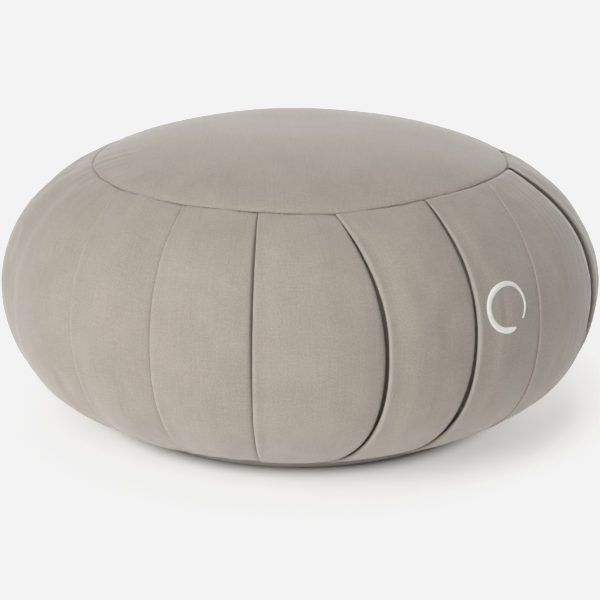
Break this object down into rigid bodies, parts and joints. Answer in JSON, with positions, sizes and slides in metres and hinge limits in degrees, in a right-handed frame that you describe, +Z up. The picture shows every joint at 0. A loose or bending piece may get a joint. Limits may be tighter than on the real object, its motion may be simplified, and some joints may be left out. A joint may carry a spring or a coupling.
{
  "type": "zafu meditation cushion",
  "caption": "Round, firmly filled floor cushion with a knife-pleated side band, a crowned top panel and a flat base, for sitting on in meditation.",
  "frame": {"origin": "middle of the footprint, at the level of the surface that the cushion rests on", "axes": "+Z up through the middle of both round panels; -Y is the front, +X is to the right of it"},
  "size_m": [0.3983, 0.3993, 0.1921],
  "materials": {
    "side_cotton": "plain-woven cotton, matt, with a slight slub",
    "top_cotton": "plain-woven cotton, matt, with a slight slub",
    "base_cotton": "plain-woven cotton, matt"
  },
  "bodies": {
    "root": {"side_band": "side_cotton", "top_panel": "top_cotton", "bottom_panel": "base_cotton"}
  },
  "joints": []
}
